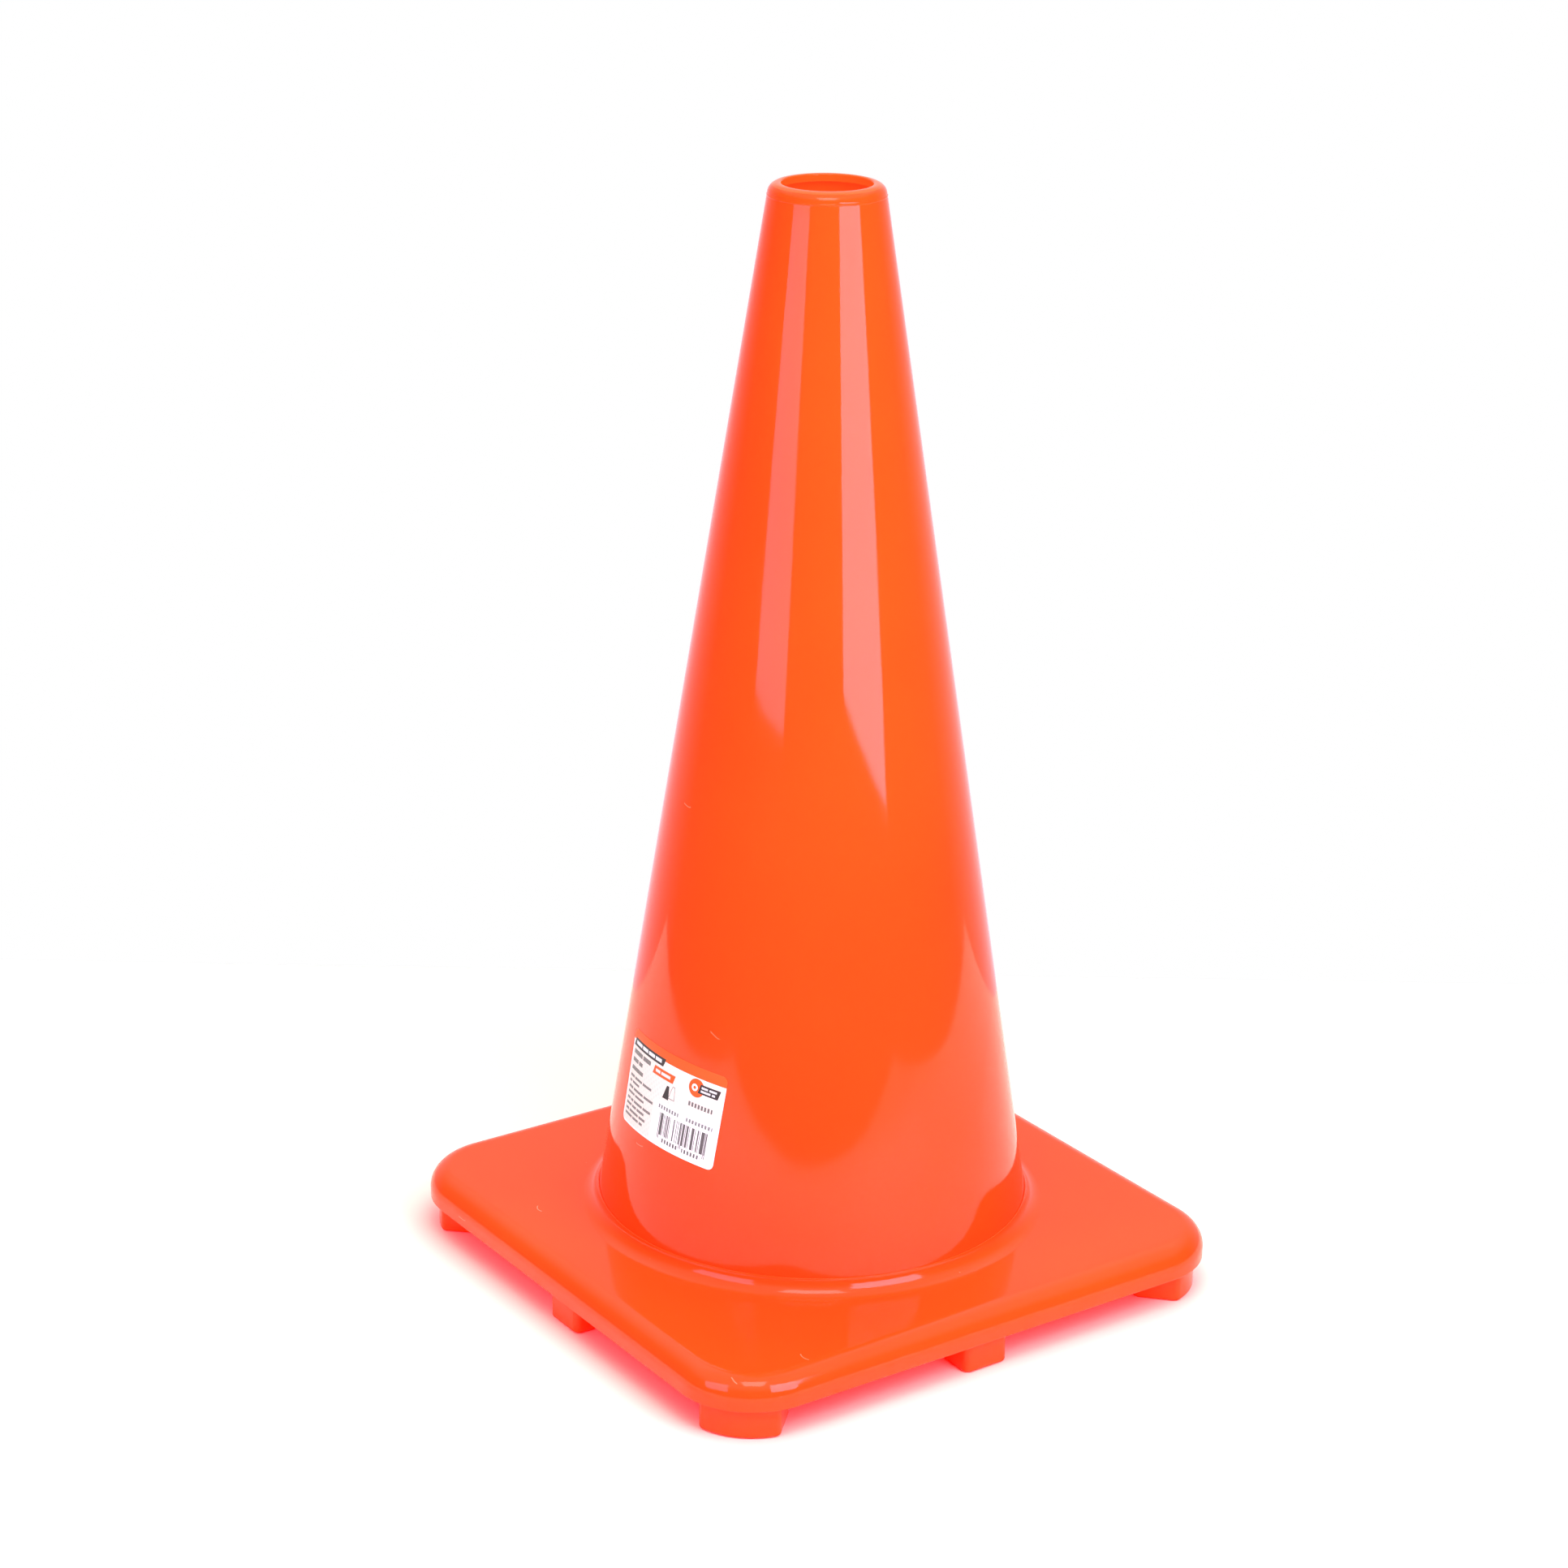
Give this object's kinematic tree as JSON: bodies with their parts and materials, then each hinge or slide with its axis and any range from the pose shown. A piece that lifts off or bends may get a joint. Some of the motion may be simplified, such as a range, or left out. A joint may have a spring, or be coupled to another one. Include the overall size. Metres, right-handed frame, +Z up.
{
  "type": "traffic cone",
  "caption": "Tall hollow orange cone with an open round lip, rising from a collar on a thick square footed base, with a small product label on its side.",
  "frame": {"origin": "middle of the square footprint, on the ground under the feet", "axes": "+Z up along the cone's axis, X and Y along the sides of the square base"},
  "size_m": [0.254, 0.254, 0.457],
  "materials": {
    "sleeve_pvc": "smooth glossy soft PVC, fluorescent orange, faint flow waviness",
    "base_pvc": "smooth glossy soft PVC, fluorescent orange, with fine scuffs",
    "label_film": "thin satin printed film with a white border"
  },
  "bodies": {
    "root": {"cone_body": "sleeve_pvc", "weighted_base": "base_pvc", "product_label": "label_film"}
  },
  "joints": []
}
